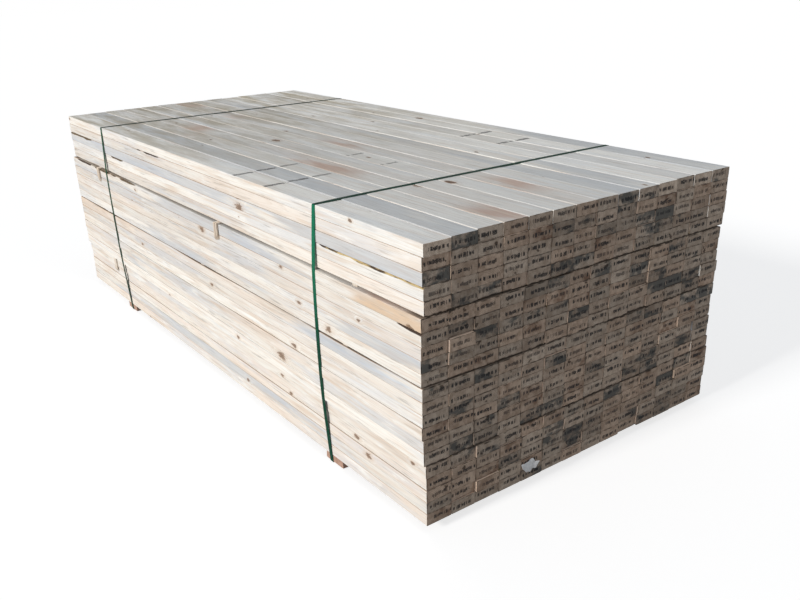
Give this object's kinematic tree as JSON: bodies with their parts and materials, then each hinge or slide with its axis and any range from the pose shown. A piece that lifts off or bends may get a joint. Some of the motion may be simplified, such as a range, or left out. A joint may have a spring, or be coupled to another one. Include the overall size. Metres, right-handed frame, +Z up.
{
  "type": "bundle of pine studs",
  "caption": "Strapped mill bundle of surfaced pine studs, laid flat in tiers parted by thin laths, on cross runners and held together by green plastic straps.",
  "frame": {"origin": "bottom centre of the whole bundle's box, on the level floor that it rests on", "axes": "+X along the studs, towards the end that the picture shows; +Y across the bundle, away from the long side that the picture shows; +Z up"},
  "size_m": [2.7586, 1.2712, 0.8466],
  "materials": {
    "pine": "surfaced, lightly weathered",
    "lath_wood": "rough sawn",
    "runner_wood": "rough sawn, dirty",
    "strap_plastic": "embossed, satin",
    "paper": "matt, creased"
  },
  "bodies": {
    "root": {"lath_lower_centre": "lath_wood", "lath_lower_far": "lath_wood", "lath_lower_near": "lath_wood", "lath_middle_centre": "lath_wood", "lath_middle_far": "lath_wood", "lath_middle_near": "lath_wood", "lath_upper_centre": "lath_wood", "lath_upper_far": "lath_wood", "lath_upper_near": "lath_wood", "paper_scrap": "paper", "runner_far": "runner_wood", "runner_near": "runner_wood", "strap_far": "strap_plastic", "strap_near": "strap_plastic", "stud_layer_01": "pine", "stud_layer_02": "pine", "stud_layer_03": "pine", "stud_layer_04": "pine", "stud_layer_05": "pine", "stud_layer_06": "pine", "stud_layer_07": "pine", "stud_layer_08": "pine", "stud_layer_09": "pine", "stud_layer_10": "pine", "stud_layer_11": "pine", "stud_layer_12": "pine", "stud_layer_13": "pine", "stud_layer_14": "pine", "stud_layer_15": "pine", "stud_layer_16": "pine", "stud_layer_17": "pine", "stud_layer_18": "pine", "stud_layer_19": "pine", "stud_layer_20": "pine", "stud_layer_21": "pine"}
  },
  "joints": []
}
